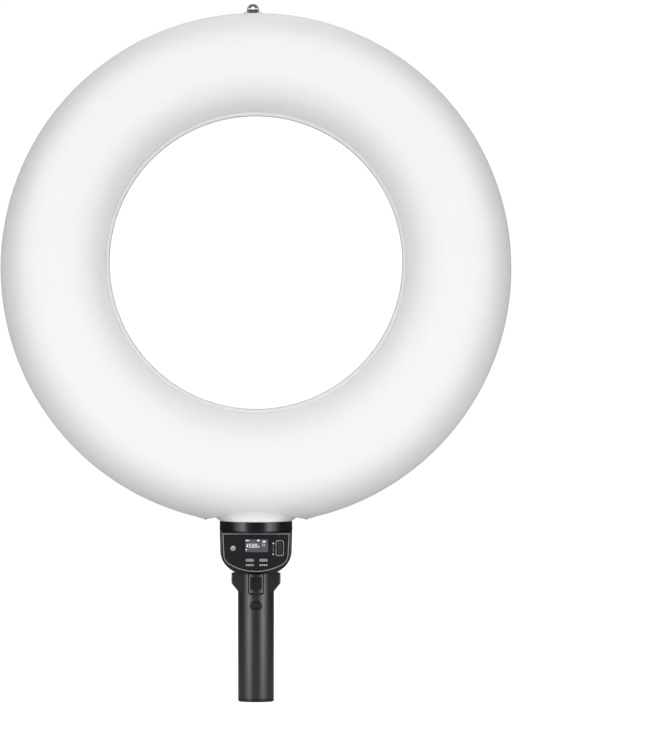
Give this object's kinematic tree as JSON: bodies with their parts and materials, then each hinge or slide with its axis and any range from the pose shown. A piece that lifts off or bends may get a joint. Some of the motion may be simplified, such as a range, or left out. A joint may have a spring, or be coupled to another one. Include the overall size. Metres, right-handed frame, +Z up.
{
  "type": "led ring light",
  "caption": "Large soft ring light: opal dome ring with an open middle over a small control box with display and dial, on a battery handle that lifts off at a latch.",
  "frame": {"origin": "centre of the tripod thread's mouth, under the handle's end cap", "axes": "+Z up along the handle, -Y is the lit front, +X to the right seen from the front"},
  "size_m": [0.475, 0.0718, 0.6489],
  "materials": {
    "opal_diffuser": "satin opal",
    "white_shell": "satin",
    "gloss_black": "gloss",
    "satin_black": "satin",
    "panel_film": "satin gloss",
    "silver_line": "satin",
    "display_glass": "gloss",
    "grey_key": "satin",
    "power_key": "turned",
    "dial_rubber": "ribbed",
    "handle_metal": "satin anodised",
    "latch_black": "satin gloss",
    "grip_pad": "ribbed",
    "steel": "brushed",
    "spring_steel": "polished",
    "brass": "turned",
    "gold_contact": "polished",
    "circuit_board": "lacquered",
    "white_board": "white lacquer",
    "led_phosphor": "matte",
    "carrier_sheet": "white lacquer",
    "harness": "matte",
    "connector": "matte",
    "cell_wrap": "shrink wrap",
    "inner_plastic": "matte",
    "socket_metal": "plated",
    "loop_metal": "satin"
  },
  "bodies": {
    "handle": {"grip_body": "handle_metal", "dock_socket": "inner_plastic", "contact_pins": "gold_contact", "latch_pin": "steel", "catch_spring": "spring_steel", "usb_bezel": "latch_black", "usb_socket": "socket_metal", "charge_board": "circuit_board", "battery_cell": "cell_wrap", "cell_holder_top": "inner_plastic", "cell_holder_bottom": "inner_plastic", "end_cap": "satin_black", "tripod_bush": "brass", "cap_screws": "steel"},
    "head": {"diffuser": "opal_diffuser", "rear_housing": "white_shell", "saddle": "white_shell", "led_carrier": "carrier_sheet", "led_boards": "white_board", "led_packages": "led_phosphor", "housing_screws": "steel", "saddle_screws": "steel", "neck_screws": "steel", "band": "gloss_black", "front_housing": "satin_black", "rear_cover": "satin_black", "cover_screws": "steel", "panel_overlay": "panel_film", "panel_trim": "silver_line", "display": "display_glass", "wheel_bezel": "silver_line", "wheel_axle": "steel", "control_board": "circuit_board", "driver_board": "circuit_board", "led_harness": "harness", "led_connector": "connector", "dock_plinth": "inner_plastic", "dock_contacts": "gold_contact", "plinth_screws": "steel", "top_loop_base": "loop_metal", "top_loop_pin": "steel", "loop_screws": "steel"},
    "latch": {"latch_lever": "handle_metal", "latch_pad": "grip_pad"},
    "power_button": {"power_button": "power_key"},
    "menu_button": {"menu_button": "grey_key"},
    "mode_button": {"mode_button": "grey_key"},
    "dial": {"thumb_wheel": "dial_rubber"},
    "loop_bail": {"top_loop_bail": "loop_metal"}
  },
  "joints": [
    {"name": "head_release", "type": "slide", "parent": "handle", "child": "head", "axis": [0, 0, 1], "range_m": [0, 0.03], "deforming": ["catch_spring"]},
    {"name": "latch_press", "type": "hinge", "parent": "handle", "child": "latch", "pos_m": [0, -0.0129, 0.1095], "axis": [1, 0, 0], "range_deg": [0, 8], "stiffness_Nm_per_rad": 0.15, "springref_deg": -5.73, "deforming": ["catch_spring"]},
    {"name": "power_press", "type": "slide", "parent": "head", "child": "power_button", "axis": [0, 1, 0], "range_m": [0, 0.0008], "stiffness_N_per_m": 900, "springref_m": -0.0004},
    {"name": "menu_press", "type": "slide", "parent": "head", "child": "menu_button", "axis": [0, 1, 0], "range_m": [0, 0.0008], "stiffness_N_per_m": 900, "springref_m": -0.0004},
    {"name": "mode_press", "type": "slide", "parent": "head", "child": "mode_button", "axis": [0, 1, 0], "range_m": [0, 0.0008], "stiffness_N_per_m": 900, "springref_m": -0.0004},
    {"name": "dial_turn", "type": "hinge", "parent": "head", "child": "dial", "pos_m": [0.022, -0.0171, 0.1433], "axis": [1, 0, 0], "continuous": true},
    {"name": "loop_fold", "type": "hinge", "parent": "head", "child": "loop_bail", "pos_m": [-0.0028, 0.007, 0.6423], "axis": [1, 0, 0], "range_deg": [-85, 85]}
  ]
}
